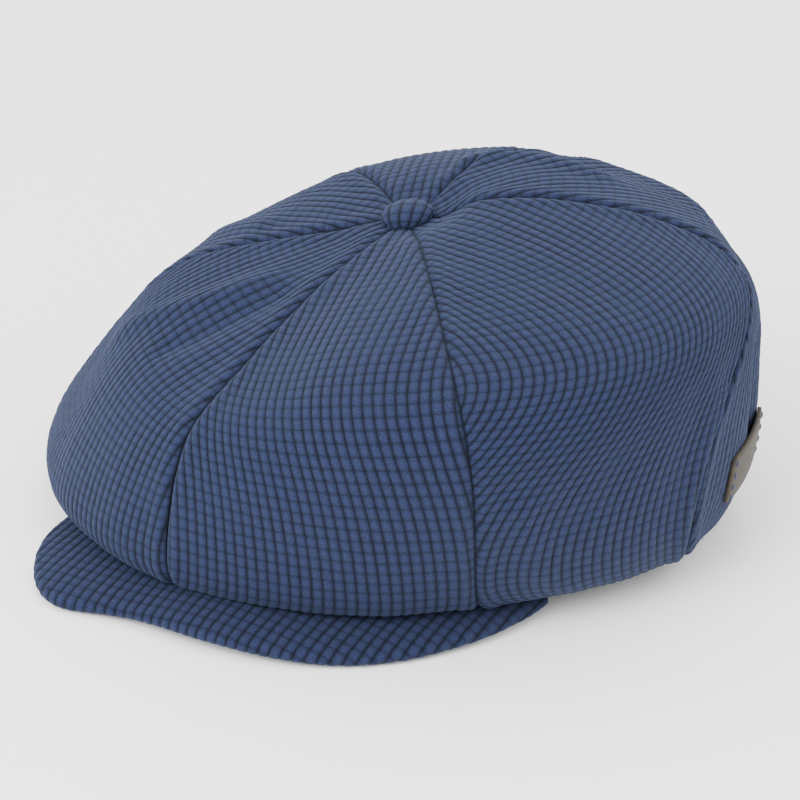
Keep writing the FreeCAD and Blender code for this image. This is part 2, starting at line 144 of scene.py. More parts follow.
def ring_matrix(n):
    """Matrix that gives the second derivatives of a closed spline with unit knots."""
    left = np.zeros((n, n))
    right = np.zeros((n, n))
    for i in range(n):
        left[i, i - 1] += 1
        left[i, i] += 4
        left[i, (i + 1) % n] += 1
        right[i, i - 1] += 6
        right[i, i] -= 12
        right[i, (i + 1) % n] += 6
    return np.linalg.solve(left, right)


RING = ring_matrix(STATION_COUNT)


def head_ring(azimuth, outset, lift=0.0):
    """Points set out from the head seam, azimuth in degrees."""
    own = np.radians(azimuth - HEAD_TURN)
    side = (HEAD_HALF_WIDTH + outset) * np.sin(own)
    ahead = (HEAD_HALF_LENGTH + outset) * np.cos(own)
    turn = math.radians(HEAD_TURN)
    x = math.cos(turn) * side + math.sin(turn) * ahead
    y = math.sin(turn) * side - math.cos(turn) * ahead
    z = HEAD_MID_HEIGHT + HEAD_RISE * np.cos(own) + lift
    return np.stack([x, y, z + 0 * x], -1)


def hump(azimuth, centre, half_width):
    """Smooth hump round the cap: 1 at its centre and 0 past its half width."""
    gap = abs((azimuth - centre + 180.0) % 360.0 - 180.0)
    return 0.5 + 0.5 * math.cos(math.pi * min(gap / half_width, 1.0))


def ring_point(ring, azimuth):
    """Where one ring of the crown crosses a station."""
    reach, ahead, left, height, rise, left_rise, dip, tuck, lean, lean_at, lean_over = ring
    forward = math.cos(math.radians(azimuth))
    leftward = math.sin(math.radians(azimuth))
    out = reach + ahead * forward + left * leftward
    out -= tuck * hump(azimuth, TUCK_AZIMUTH, TUCK_HALF_WIDTH)
    level = height + rise * forward + left_rise * leftward
    level -= dip * hump(azimuth, 0.0, DIP_HALF_WIDTH)
    angle = math.radians(azimuth - lean * hump(azimuth, lean_at, lean_over))
    return (out * math.sin(angle), -out * math.cos(angle), level)


def station_points():
    """Control points of the crown's profiles: (stations, points, 3)."""
    out = []
    for index in range(STATION_COUNT):
        azimuth = index * STATION_STEP
        line = [(0.0, 0.0, CENTRE_HEIGHT)]
        line += [ring_point(ring, azimuth) for ring in CROWN_RINGS.values()]
        line += [tuple(head_ring(np.array(azimuth), outset))
                 for outset in (HEM_REACH, HEM_REACH / 2, HEM_GAP)]
        out.append(line)
    return np.array(out, float)


STATION_POINTS = station_points()


def seat_height(x, y):
    """Flat seat under the button."""
    slope = math.tan(SEAT_TILT)
    return CENTRE_HEIGHT - slope * (x * math.sin(SEAT_AZIMUTH) - y * math.cos(SEAT_AZIMUTH))


def smooth(value):
    """Smooth step from 0 to 1."""
    value = np.clip(value, 0.0, 1.0)
    return value * value * (3 - 2 * value)


def crown_surface(along, azimuth):
    """Crown's outer surface for arrays of the same shape (rows of one along value each)."""
    rows = along[:, 0]
    profiles = natural_spline(PROFILE_AT, STATION_POINTS.transpose(1, 0, 2), rows)
    bend = np.einsum("ij,rjk->rik", RING, profiles)
    count = STATION_COUNT
    where = (azimuth / STATION_STEP) % count
    low = np.floor(where).astype(int) % count
    high = (low + 1) % count
    b = (where - np.floor(where))[..., None]
    a = 1 - b
    pick = np.arange(len(rows))[:, None]
    value = a * profiles[pick, low] + b * profiles[pick, high]
    value = value + ((a ** 3 - a) * bend[pick, low] + (b ** 3 - b) * bend[pick, high]) / 6
    reach = np.hypot(value[..., 0], value[..., 1])
    rise = smooth((reach - SEAT_RADIUS) / SEAT_BLEND)
    seat = seat_height(value[..., 0], value[..., 1])
    value[..., 2] = seat * (1 - rise) + value[..., 2] * rise
    return value


def grid_normals(points):
    """Unit normals of a grid of points."""
    down = np.gradient(points, axis=0)
    across = np.gradient(points, axis=1)
    normal = np.cross(down, across)
    length = np.linalg.norm(normal, axis=-1, keepdims=True)
    return normal / np.maximum(length, 1e-9)


# ------------------------------------------------------------------------------- cloth relief


def hashed(i, j, seed):
    """Repeatable noise from 0 to 1 for integer cells."""
    value = np.sin(i * 127.1 + j * 311.7 + seed * 74.7) * 43758.5453
    return value - np.floor(value)


def soft_noise(x, y, seed):
    """Smooth value noise from -1 to 1."""
    i, j = np.floor(x), np.floor(y)
    u, v = smooth(x - i), smooth(y - j)
    low = hashed(i, j, seed) * (1 - u) + hashed(i + 1, j, seed) * u
    high = hashed(i, j + 1, seed) * (1 - u) + hashed(i + 1, j + 1, seed) * u
    return 2 * (low * (1 - v) + high * v) - 1


def waffle(x, y):
    """Height of the waffle knit from 0 in the grooves to 1 on a cell, at cloth coordinates in mm."""
    x = x + 0.28 * soft_noise(x / 9.0, y / 14.0, 3)
    y = y + 0.35 * soft_noise(x / 11.0, y / 9.0, 5)
    i = np.floor(x / WALE)
    y = y + 0.45 * (hashed(i, 0 * i, 9) - 0.5)
    j = np.floor(y / COURSE)
    across = np.abs(np.sin(math.pi * x / WALE)) ** 0.55
    along = np.abs(np.sin(math.pi * y / COURSE)) ** 0.40
    pillow = across * (0.42 + 0.58 * along)
    return pillow * (0.86 + 0.14 * hashed(i, j, 11))


# ------------------------------------------------------------------------------- meshes


def mesh_object(name, points, faces, slot, cloth=None):
    """Smooth mesh from head-frame points in mm, riding on the root, with optional cloth coordinates."""
    mesh = bpy.data.meshes.new(name)
    vertices = (np.asarray(points, float).reshape(-1, 3) + FRAME_SHIFT) * MM
    faces = np.asarray(faces, int)
    mesh.vertices.add(len(vertices))
    mesh.vertices.foreach_set("co", vertices.ravel())
    sides = faces.shape[1]
    mesh.loops.add(faces.size)
    mesh.loops.foreach_set("vertex_index", faces.ravel())
    mesh.polygons.add(len(faces))
    mesh.polygons.foreach_set("loop_start", np.arange(0, faces.size, sides))
    mesh.polygons.foreach_set("loop_total", np.full(len(faces), sides))
    mesh.update(calc_edges=True)
    mesh.validate()
    mesh.polygons.foreach_set("use_smooth", np.ones(len(mesh.polygons), bool))
    if cloth is not None:
        layer = mesh.attributes.new("cloth", "FLOAT_VECTOR", "POINT")
        layer.data.foreach_set("vector", np.asarray(cloth, np.float32).reshape(-1))
    obj = bpy.data.objects.new(name, mesh)
    bpy.context.scene.collection.objects.link(obj)
    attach(obj, "root")
    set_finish(obj, slot)
    return obj


def grid_faces(rows, columns, start=0, flip=False, wrap=False):
    """Quads of a grid of points."""
    r = np.arange(rows - 1)[:, None]
    c = np.arange(columns if wrap else columns - 1)[None, :]
    right = (c + 1) % columns
    a = start + r * columns + c
    b = start + r * columns + right
    d = start + (r + 1) * columns + c
    e = start + (r + 1) * columns + right
    quads = np.stack([a, d, e, b] if not flip else [a, b, e, d], -1)
    return quads.reshape(-1, 4)


def arc_lengths(points, axis):
    """Distance run along one axis of a grid of points, from its first row or column."""
    step = np.linalg.norm(np.diff(points, axis=axis), axis=-1)
    run = np.cumsum(step, axis=axis)
    pad = [(0, 0), (0, 0)]
    pad[axis] = (1, 0)
    return np.pad(run, pad)


# Folds of the slumped crown: height in mm (minus for a hollow), half width in mm, and the line
# the fold follows as (azimuth, share of the way down the cloth).
FOLDS = [
    # ridge behind the button, the hollow above it and the crest beyond
    (2.4, 6.0, [(190, 0.12), (172, 0.18), (152, 0.24), (138, 0.30)]),
    (-2.4, 7.0, [(182, 0.20), (166, 0.26), (152, 0.31)]),
    (2.6, 7.0, [(176, 0.31), (154, 0.36), (132, 0.41)]),
    (-3.4, 11.0, [(152, 0.44), (136, 0.46), (122, 0.48)]),
    # lengthwise crease over the front right panel
    (2.2, 6.5, [(-24, 0.20), (-30, 0.34), (-38, 0.48), (-46, 0.60)]),
    (-2.2, 6.5, [(-12, 0.22), (-18, 0.36), (-26, 0.50)]),
    (1.6, 8.0, [(-70, 0.22), (-78, 0.34), (-84, 0.46)]),
    # slump above the left ear
    (2.0, 8.0, [(116, 0.56), (119, 0.70), (122, 0.84)]),
    (-2.8, 10.0, [(136, 0.58), (138, 0.68), (140, 0.80)]),
    (1.4, 7.0, [(70, 0.62), (84, 0.72), (98, 0.82)]),
]


def fold_relief(points, folds):
    """Height that the folds add at the points of a grid."""
    total = np.zeros(points.shape[:-1])
    for height, width, line in folds:
        knots = np.arange(len(line), dtype=float)
        dense = np.linspace(0, len(line) - 1, 14 * len(line))
        spots = natural_spline(knots, np.array(line, float), dense)
        track = crown_surface(spots[:, 1:2], spots[:, 0:1])[:, 0]
        share = dense / (len(line) - 1)
        taper = smooth(share / 0.22) * smooth((1 - share) / 0.22)
        best = np.full(points.shape[:-1], 1e9)
        weight = np.zeros(points.shape[:-1])
        for spot, strength in zip(track, taper):
            gap = np.sum((points - spot) ** 2, axis=-1)
            closer = gap < best
            best = np.where(closer, gap, best)
            weight = np.where(closer, strength, weight)
        total += height * weight * np.exp(-best / (width * width))
    return total


def crown_panel(index, name):
    """One gore of the crown with its folds, seam valleys and waffle."""
    middle = (index + 0.5) * PANEL_SPAN
    rows = int(400 * FINE)
    columns = int(216 * FINE)
    probe_at = np.linspace(CROWN_START, 1.0, 600)[:, None]
    probe = crown_surface(probe_at, np.full_like(probe_at, middle))[:, 0]
    run = np.concatenate([[0], np.cumsum(np.linalg.norm(np.diff(probe, axis=0), axis=1))])
    even = np.linspace(0, run[-1], rows)
    along = np.interp(even, run, probe_at[:, 0])
    share = np.linspace(-1, 1, columns)
    azimuth = middle + share * PANEL_SPAN / 2
    along_grid, azimuth_grid = np.meshgrid(along, azimuth, indexing="ij")
    base = crown_surface(along_grid, azimuth_grid)
    normal = grid_normals(base)

    across = arc_lengths(base, 1)
    centre = across[:, columns // 2:columns // 2 + 1]
    cloth_x = across - centre
    cloth_y = np.repeat(even[:, None], columns, axis=1)
    to_seam = np.minimum(across, across[:, -1:] - across)

    relief = fold_relief(base, FOLDS)
    # cloth stands up a little beside each seam and dips into it
    fade = smooth(even / 25.0)[:, None]
    ridge = SEAM_RIDGE * np.exp(-((to_seam - SEAM_RIDGE_AT) / SEAM_RIDGE_WIDTH) ** 2)
    valley = SEAM_DEPTH * np.exp(-(to_seam / SEAM_WIDTH) ** 2)
    relief += fade * (ridge - valley)
    relief += 0.5 * soft_noise(cloth_x / 31.0, cloth_y / 37.0, 20 + index)
    relief += 0.25 * soft_noise(cloth_x / 13.0, cloth_y / 17.0, 40 + index)
    cells = waffle(cloth_x + 0.5 * WALE, cloth_y)
    edge_fade = smooth(to_seam / 0.9)
    points = base + normal * (relief + WAFFLE_HEIGHT * cells * edge_fade)[..., None]

    cloth = np.stack([cloth_x / WALE + 0.5 + 40 * index, cloth_y / COURSE, to_seam], -1)
    obj = mesh_object(f"cloth_panel_{name}", points, grid_faces(rows, columns), "cap_cloth", cloth)
    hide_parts(f"crown_panel_{name}")


def lining_panel(index, name):
    """One gore of the lining: smooth cloth with soft wrinkles, a little inside the crown."""
    middle = (index + 0.5) * PANEL_SPAN
    rows = int(110 * FINE)
    columns = int(60 * FINE)
    along = np.linspace(LINING_START, LINING_END, rows)
    azimuth = middle + np.linspace(-1, 1, columns) * PANEL_SPAN / 2
    along_grid, azimuth_grid = np.meshgrid(along, azimuth, indexing="ij")
    base = crown_surface(along_grid, azimuth_grid)
    normal = grid_normals(base)
    across = arc_lengths(base, 1)
    down = arc_lengths(base, 0)
    to_seam = np.minimum(across, across[:, -1:] - across)
    depth = LINING_DEPTH + 0.7 * soft_noise(across / 14, down / 60, 60 + index)
    depth = depth + 0.5 * soft_noise(across / 6, down / 26, 70 + index)
    depth = depth - 0.8 * np.exp(-(to_seam / 1.2) ** 2)
    edge = smooth((LINING_END - along_grid) / 0.05)
    depth = LINING_EDGE_DEPTH + (depth - LINING_EDGE_DEPTH) * edge
    inner = base + normal * (fold_relief(base, FOLDS) - depth)[..., None]
    cloth = np.stack([across, down, to_seam], -1)
    obj = mesh_object(f"lining_cloth_{name}", inner, grid_faces(rows, columns, flip=True),
                      "lining_cloth", cloth)
    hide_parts(f"lining_panel_{name}")


# ------------------------------------------------------------------------------- brim
BRIM_HALF_WIDTH = 93.0
BRIM_FRONT_REACH = 147.0
BRIM_CORNER_REACH = 60.0
BRIM_SQUARENESS_LEFT = 1.1
BRIM_SQUARENESS_RIGHT = 0.4
BRIM_LOW_EDGE = 3.0
BRIM_LOW_AT = 0.66
BRIM_LOBE_REACH = 14.0
BRIM_LOBE_SIDE = 67.0
BRIM_LOBE_WIDTH = 24.0
BRIM_ARCH = 3.0
BRIM_SIDE_RISE = 2.0
BRIM_ROOT_ANGLE = 54.0
BRIM_ROOT_DROP = 9.0
BRIM_CAMBER = 1.6
BRIM_HALF_THICKNESS = 2.4
BRIM_ROLL_BULGE = 2.6
UNDER_COVER_DEPTH = 2.2
INNER_BRIM_REACH = 0.985


def brim_surface(across, out):
    """Brim's middle surface: across from -1 to 1, out 0 at the head seam and 1 at the edge."""
    root = head_ring(across * BRIM_ROOT_ANGLE + HEAD_TURN, 2.0, -BRIM_ROOT_DROP)
    side = np.abs(np.sin(across * math.pi / 2))
    deep = np.maximum(np.cos(across * math.pi / 2), 0.0)
    share = 0.5 + 0.5 * np.sin(across * math.pi / 2)
    squareness = BRIM_SQUARENESS_RIGHT + (BRIM_SQUARENESS_LEFT - BRIM_SQUARENESS_RIGHT) * share
    x = BRIM_HALF_WIDTH * side * np.sign(across)
    y = -(BRIM_CORNER_REACH + (BRIM_FRONT_REACH - BRIM_CORNER_REACH) * deep ** squareness)
    y = y - BRIM_LOBE_REACH * np.exp(-((x + BRIM_LOBE_SIDE) / BRIM_LOBE_WIDTH) ** 2)
    inside = np.clip(1 - (side / BRIM_LOW_AT) ** 2, 0, 1) ** 2
    outside = np.clip((side - BRIM_LOW_AT) / (1 - BRIM_LOW_AT), 0, 1) ** 1.3
    z = BRIM_LOW_EDGE + BRIM_ARCH * inside + BRIM_SIDE_RISE * outside
    turn = math.radians(HEAD_TURN)
    edge = np.stack([math.cos(turn) * x - math.sin(turn) * y,
                     math.sin(turn) * x + math.cos(turn) * y, z], -1)
    point = root + (edge - root) * out[..., None]
    point[..., 2] += BRIM_CAMBER * 4 * out * (1 - out) * (0.4 + 0.6 * deep)
    return point


def even_brim_columns(count):
    """Values of across that are evenly spaced along the brim's edge."""
    fine = np.linspace(-1, 1, 4001)
    edge = brim_surface(fine, np.ones_like(fine))
    run = np.concatenate([[0], np.cumsum(np.linalg.norm(np.diff(edge, axis=0), axis=1))])
    return np.interp(np.linspace(0, run[-1], count), run, fine)


def upward_normals(points):
    """Unit normals of a grid of points, turned so that they point up at its middle."""
    normal = grid_normals(points)
    rows, columns = normal.shape[:2]
    return -normal if normal[rows // 2, columns // 2, 2] < 0 else normal


def brim_grid(rows, columns, reach):
    """Share outwards, middle surface and upward normals of the brim on an even grid."""
    out, across = np.meshgrid(np.linspace(0, reach, rows), even_brim_columns(columns), indexing="ij")
    middle = brim_surface(across, out)
    return out, middle, upward_normals(middle)


def head_plan(vectors):
    """Plan coordinates along the head opening's own width and length."""
    turn = math.radians(HEAD_TURN)
    x, y = vectors[..., 0], vectors[..., 1]
    return math.cos(turn) * x + math.sin(turn) * y, -math.sin(turn) * x + math.cos(turn) * y


def brim_top():
    """Top cover of the brim, which rolls over the board's edge."""
    columns = int(520 * FINE)
    flat_rows = int(118 * FINE)
    roll_rows = int(18 * FINE)
    half = BRIM_HALF_THICKNESS
    out, middle, up = brim_grid(flat_rows, columns, 1.0)
    edge_dir = middle[-1] - middle[-2]
    edge_dir /= np.linalg.norm(edge_dir, axis=-1, keepdims=True)
    side_dir = np.gradient(middle[-1], axis=0)
    outward = np.cross(side_dir, up[-1])
    outward /= np.linalg.norm(outward, axis=-1, keepdims=True)
    outward = np.where(np.sum(outward * edge_dir, -1, keepdims=True) < 0, -outward, outward)

    top_height = half + 0.25 - 0.35 * smooth((out - 0.90) / 0.1)
    top = middle + up * top_height[..., None]
    angles = np.linspace(0, math.pi * 0.92, roll_rows + 1)[1:]
    radius = half - 0.1
    roll = []
    roll_out = []
    for angle in angles:
        push = BRIM_ROLL_BULGE * math.sin(angle)
        roll.append(middle[-1] + outward * push + up[-1] * radius * math.cos(angle))
        roll_out.append(radius * angle)
    skin = np.concatenate([top, np.array(roll)], 0)
    normal = upward_normals(skin)
    # grain runs front to back, square to the brim's own turn
    cloth_x, cloth_y = head_plan(middle)
    extra_x, extra_y = head_plan(outward)
    roll_x = np.array([cloth_x[-1] + extra_x * run for run in roll_out])
    roll_y = np.array([cloth_y[-1] + extra_y * run for run in roll_out])
    cloth_x = np.concatenate([cloth_x, roll_x], 0)
    cloth_y = np.concatenate([cloth_y, roll_y], 0)
    relief = 0.25 * soft_noise(cloth_x / 23.0, cloth_y / 19.0, 81)
    cells = waffle(cloth_x, cloth_y)
    points = skin + normal * (relief + WAFFLE_HEIGHT * 0.9 * cells)[..., None]
    cloth = np.stack([cloth_x / WALE, cloth_y / COURSE, np.full_like(cloth_x, FAR_FROM_SEAM)], -1)
    cover = mesh_object("cloth_brim_top", points, grid_faces(flat_rows + roll_rows, columns),
                        "cap_cloth", cloth)
    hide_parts("brim_top_cover")


def brim_under():
    """Under cover of the brim, inside the roll of the top cover."""
    rows, columns = int(70 * FINE), int(220 * FINE)
    _, middle, up = brim_grid(rows, columns, INNER_BRIM_REACH)
    points = middle - up * UNDER_COVER_DEPTH
    x, y = points[..., 0], points[..., 1]
    cloth = np.stack([x, y, np.full_like(x, FAR_FROM_SEAM)], -1)
    cover = mesh_object("cloth_brim_under", points, grid_faces(rows, columns, flip=True),
                        "under_cloth", cloth)
    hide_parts("brim_under_cover")


def brim_board():
    """Board between the two covers."""
    _, middle, up = brim_grid(14, 60, INNER_BRIM_REACH)
    core = closed_sheet("brim_board", middle + up, middle - up, "brim_board")
    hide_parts("brim_core")


def closed_sheet(name, outer, inner, slot):
    """Closed mesh between two grids of points."""
    rows, columns = outer.shape[:2]
    total = rows * columns
    points = np.concatenate([outer.reshape(-1, 3), inner.reshape(-1, 3)])
    faces = [grid_faces(rows, columns), grid_faces(rows, columns, start=total, flip=True)]
    index = np.arange(total).reshape(rows, columns)
    rim = np.concatenate([index[0, :], index[1:, -1], index[-1, -2::-1], index[-2:0:-1, 0]])
    follow = np.roll(rim, -1)
    faces.append(np.stack([rim, follow, follow + total, rim + total], -1))
    return mesh_object(name, points, np.concatenate(faces), slot)


# ------------------------------------------------------------------------------- button
BUTTON_RADIUS = 10.0
BUTTON_DOME = 6.0
BUTTON_WAIST = 1.6
BUTTON_TUCK = 4.0
BUTTON_ROUNDNESS = 1.02
BUTTON_CLOTH_REACH = 15.5
BUTTON_WAFFLE_HEIGHT = 0.45


def seat_point(local):
    """Points given in the button's own frame, put on the leaning seat."""
    axis = (math.cos(SEAT_AZIMUTH), math.sin(SEAT_AZIMUTH), 0.0)
    turn = np.array(Matrix.Rotation(SEAT_TILT, 3, Vector(axis)))
    return local @ turn.T + np.array([0, 0, CENTRE_HEIGHT])


def revolved(name, profile, slot, segments=48):
    """Surface of revolution on the button's axis from (radius, height) points."""
    angles = np.linspace(0, 2 * math.pi, segments, endpoint=False)
    profile = np.array(profile, float)
    x = profile[:, 0:1] * np.cos(angles)
    y = profile[:, 0:1] * np.sin(angles)
    z = np.repeat(profile[:, 1:2], segments, axis=1)
    points = seat_point(np.stack([x, y, z], -1).reshape(-1, 3))
    return mesh_object(name, points, grid_faces(len(profile), segments, wrap=True), slot)


def button():
    """Cloth-covered button with its gathered rim, metal shell, shank plate and thread."""
    rows = int(90 * FINE)
    segments = int(240 * FINE)
    share = np.linspace(0.0, 1.0, rows)[:, None]
    angle = np.linspace(0, 2 * math.pi, segments, endpoint=False)[None, :]
    tilt = share * math.radians(112)
    reach = BUTTON_RADIUS * np.sin(np.minimum(tilt, math.pi / 2)) ** BUTTON_ROUNDNESS
    reach = reach * np.where(tilt > math.pi / 2, np.cos((tilt - math.pi / 2) * 0.9), 1.0)
    height = BUTTON_WAIST + (BUTTON_DOME - BUTTON_WAIST) * np.cos(tilt)
    height = np.where(tilt > math.pi / 2, BUTTON_WAIST + BUTTON_TUCK * np.cos(tilt), height)
    pull = 0.35 * np.cos(9 * angle + 0.6) * smooth((share - 0.55) / 0.45)
    reach = reach + pull
    x = reach * np.cos(angle)
    y = reach * np.sin(angle)
    z = height + 0 * angle
    base = np.stack([x, y, z], -1)
    normal = grid_normals(np.concatenate([base, base[:, :1]], 1))[:, :-1]
    normal = np.where(np.sum(normal * base, -1, keepdims=True) < 0, -normal, normal)
    run = share * BUTTON_CLOTH_REACH
    cloth_x = run * np.cos(angle - 0.5) + 1.1
    cloth_y = run * np.sin(angle - 0.5) + 0.6
    points = base + normal * (BUTTON_WAFFLE_HEIGHT * waffle(cloth_x, cloth_y))[..., None]
    cloth = np.stack([cloth_x / WALE, cloth_y / COURSE, np.full_like(cloth_x, FAR_FROM_SEAM)], -1)
    cover = mesh_object("cloth_button", seat_point(points.reshape(-1, 3)),
                        grid_faces(rows, segments, wrap=True), "cap_cloth", cloth)
    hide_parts("button_cover")

    arc = np.linspace(0, math.pi / 2, 12)
    dome = [(8.7 * math.sin(a), 0.8 + 5.2 * math.cos(a)) for a in arc]
    shell = revolved("button_dome", dome, "button_metal")
    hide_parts("button_shell")
    plate = [(2.0, -6.0), (2.0, 0.9), (6.4, 0.9), (6.4, 1.4), (1.0, 1.4), (1.0, -6.0), (2.0, -6.0)]
    back = revolved("button_plate", plate, "button_metal", 32)
    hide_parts("button_back")
    strand = [(0.0, -8.2), (0.6, -8.2), (0.6, 0.8), (0.0, 0.8)]
    thread = revolved("button_strand", strand, "sewing_thread", 12)
    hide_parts("button_thread")


# ------------------------------------------------------------------------------- inside
BAND_HEIGHT = 32.0
BAND_GAP = 0.4
BAND_WALL = 1.6
HEAD_TILT = math.atan2(HEAD_RISE, HEAD_HALF_LENGTH)


def tilted(local):
    """Points given in the head plane, put in the head frame."""
    lean = Matrix.Rotation(math.radians(HEAD_TURN), 3, "Z") @ Matrix.Rotation(-HEAD_TILT, 3, "X")
    return local @ np.array(lean).T + np.array([0, 0, HEAD_MID_HEIGHT])


def sweatband():
    """Twill band that stands inside the head opening, rolled at both edges."""
    segments = int(420 * FINE)
    angle = np.linspace(0, 2 * math.pi, segments, endpoint=False)[None, :]
    wall = BAND_WALL
    section = [(0.0, 0.6)]
    section += [(0.0, z) for z in np.linspace(2.0, BAND_HEIGHT - 1.6, 14)]
    section += [(-0.3, BAND_HEIGHT - 0.6), (-0.8, BAND_HEIGHT), (-wall + 0.3, BAND_HEIGHT - 0.6)]
    section += [(-wall, z) for z in np.linspace(BAND_HEIGHT - 1.6, 2.0, 20)]
    section += [(-wall + 0.3, 0.6), (-0.8, 0.0), (0.0, 0.6)]
    section = np.array(section)
    inset = section[:, 0:1]
    z = section[:, 1:2]
    ripple = 0.35 * np.sin(11 * angle + 0.7) * smooth((z - 10) / 20) * 0.6
    x = (HEAD_HALF_WIDTH - BAND_GAP + inset + ripple - 0.3) * np.sin(angle)
    y = -(HEAD_HALF_LENGTH - BAND_GAP + inset + ripple - 0.3) * np.cos(angle)
    points = np.stack([x, y, z + 0 * angle], -1)
    cloth = np.stack([np.repeat(angle, len(section), 0) * 92.0, z + 0 * angle, inset + 0 * angle], -1)
    band = mesh_object("band_cloth_ring", tilted(points.reshape(-1, 3)),
                       grid_faces(len(section), segments, wrap=True), "band_cloth", cloth)
    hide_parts("sweatband")


# ------------------------------------------------------------------------------- labels
LABEL_AZIMUTH = 136.0
LABEL_HEIGHT = 37.0
LABEL_LENGTH = 34.0
LABEL_WIDTH = 20.0
LABEL_WALL = 1.6
LABEL_CORNER = 2.5
BARS_PER_END = 4
BAR_SPACING = 4.5
BAR_HALF_LENGTH = 1.5
BAR_RADIUS = 0.42
BAR_INSET = 2.2
BAR_RINGS = 9
BAR_SIDES = 8


def label_centre_along():
    """Where the side wall of the crown passes the label's height."""
    low, high = PROFILE_AT[2], PROFILE_AT[4]
    for _ in range(30):
        middle = 0.5 * (low + high)
        here = crown_surface(np.array([[middle]]), np.array([[LABEL_AZIMUTH]]))[0, 0]
        if here[2] > LABEL_HEIGHT:
            low = middle
        else:
            high = middle
    return 0.5 * (low + high)


def label_patch(rows, columns, outset):
    """Grid of points over the side label, at an outset from the crown, with rounded corners."""
    centre = label_centre_along()
    step = 0.01
    ends = crown_surface(np.array([[centre - step], [centre + step]]), np.full((2, 1), LABEL_AZIMUTH))
    per_along = np.linalg.norm(ends[1, 0] - ends[0, 0]) / (2 * step)
    middle = crown_surface(np.array([[centre]]), np.array([[LABEL_AZIMUTH]]))[0, 0]
    reach = math.hypot(middle[0], middle[1])
    ups = np.linspace(LABEL_WIDTH / 2, -LABEL_WIDTH / 2, rows)
    overs = np.linspace(-LABEL_LENGTH / 2, LABEL_LENGTH / 2, columns)
    up_grid, over_grid = np.meshgrid(ups, overs, indexing="ij")
    past_up = np.maximum(np.abs(up_grid) - (LABEL_WIDTH / 2 - LABEL_CORNER), 0)
    past_over = np.maximum(np.abs(over_grid) - (LABEL_LENGTH / 2 - LABEL_CORNER), 0)
    # squeeze the square corner onto a round one
    far = np.maximum(np.hypot(past_up, past_over), 1e-9)
    squeeze = np.maximum(past_up, past_over) / far
    up_grid = up_grid - np.sign(up_grid) * past_up * (1 - squeeze)
    over_grid = over_grid - np.sign(over_grid) * past_over * (1 - squeeze)
    along = centre - up_grid / per_along
    azimuth = LABEL_AZIMUTH + np.degrees(over_grid / reach)
    base = np.zeros(up_grid.shape + (3,))
    normal = np.zeros_like(base)
    small = 0.003
    for row in range(rows):
        for column in range(columns):
            a = along[row, column]
            z = azimuth[row, column]
            spots = crown_surface(np.array([[a - small], [a], [a + small]]), np.full((3, 1), z))
            sides = crown_surface(np.array([[a, a]]), np.array([[z - 0.3, z + 0.3]]))
            down = spots[2, 0] - spots[0, 0]
            over = sides[0, 1] - sides[0, 0]
            n = np.cross(down, over)
            normal[row, column] = n / np.linalg.norm(n)
            base[row, column] = spots[1, 0]
    return base + normal * outset, normal, up_grid, over_grid


def side_label():
    """Leather tab sewn flat on the crown, with thread bars at both ends."""
    rows, columns = 22, 34
    outer, normal, ups, overs = label_patch(rows, columns, 0.5 + LABEL_WALL)
    edge = np.minimum(LABEL_WIDTH / 2 - np.abs(ups), LABEL_LENGTH / 2 - np.abs(overs))
    outer = outer - normal * (0.5 * np.exp(-np.maximum(edge, 0) / 0.6))[..., None]
    inner, _, _, _ = label_patch(rows, columns, 0.3)
    label = closed_sheet("leather_tab", outer, inner, "label_leather")
    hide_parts("side_label")
    bars = []
    faces = []
    for side in (-LABEL_LENGTH / 2 + BAR_INSET, LABEL_LENGTH / 2 - BAR_INSET):
        for number in range(BARS_PER_END):
            middle = (number - (BARS_PER_END - 1) / 2) * BAR_SPACING
            row = np.argmin(np.abs(ups[:, columns // 2] - middle))
            column = np.argmin(np.abs(overs[rows // 2] - side))
            n = normal[row, column]
            spot = outer[row, column] + n * 0.2
            down = outer[min(row + 1, rows - 1), column] - outer[row - 1, column]
            down = down / np.linalg.norm(down)
            over = np.cross(down, n)
            rings = []
            for share in np.linspace(-1, 1, BAR_RINGS):
                ring_radius = BAR_RADIUS * math.sqrt(max(1 - share ** 4, 0.02))
                sink = -0.25 * share * share
                for k in range(BAR_SIDES):
                    a = k * 2 * math.pi / BAR_SIDES
                    rings.append(spot + down * BAR_HALF_LENGTH * share
                                 + (over * math.cos(a) + n * math.sin(a)) * ring_radius + n * sink)
            start = len(bars) * BAR_RINGS * BAR_SIDES
            faces.append(grid_faces(BAR_RINGS, BAR_SIDES, start=start, wrap=True))
            bars.append(np.array(rings))
    stitches = mesh_object("leather_tab_stitches", np.concatenate(bars), np.concatenate(faces),
                           "sewing_thread")
    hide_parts("side_label_stitches")


# half width, lower and upper end, and distance back from the head opening's centre
WOVEN_TABS = {
    "size_tab": (8.0, HEAD_MID_HEIGHT - HEAD_RISE + 4.2, HEAD_MID_HEIGHT - HEAD_RISE + 16, 98.0),
    "care_tab": (14.0, 42.5, 81.0, 96.0),
}
WOVEN_WALL = 0.35


def woven_tab(node, half_width, low, high, reach):
    """Plain woven tab inside the rear of the cap, with a slight curl."""
    rows, columns = 24, 18
    up_grid, over_grid = np.meshgrid(np.linspace(0, 1, rows), np.linspace(-1, 1, columns), indexing="ij")
    x = over_grid * half_width
    z = low + (high - low) * up_grid
    y = reach + 0.5 * np.sin(3.0 * up_grid) - 0.35 * over_grid ** 2
    turn = np.array(Matrix.Rotation(math.radians(HEAD_TURN), 3, "Z"))
    outer = np.stack([x, y, z], -1) @ turn.T
    inner = outer - turn @ np.array([0, WOVEN_WALL, 0])
    tab = closed_sheet(f"{node}_cloth", outer, inner, "woven_tab")
    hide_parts(node)


# ------------------------------------------------------------------------------- materials


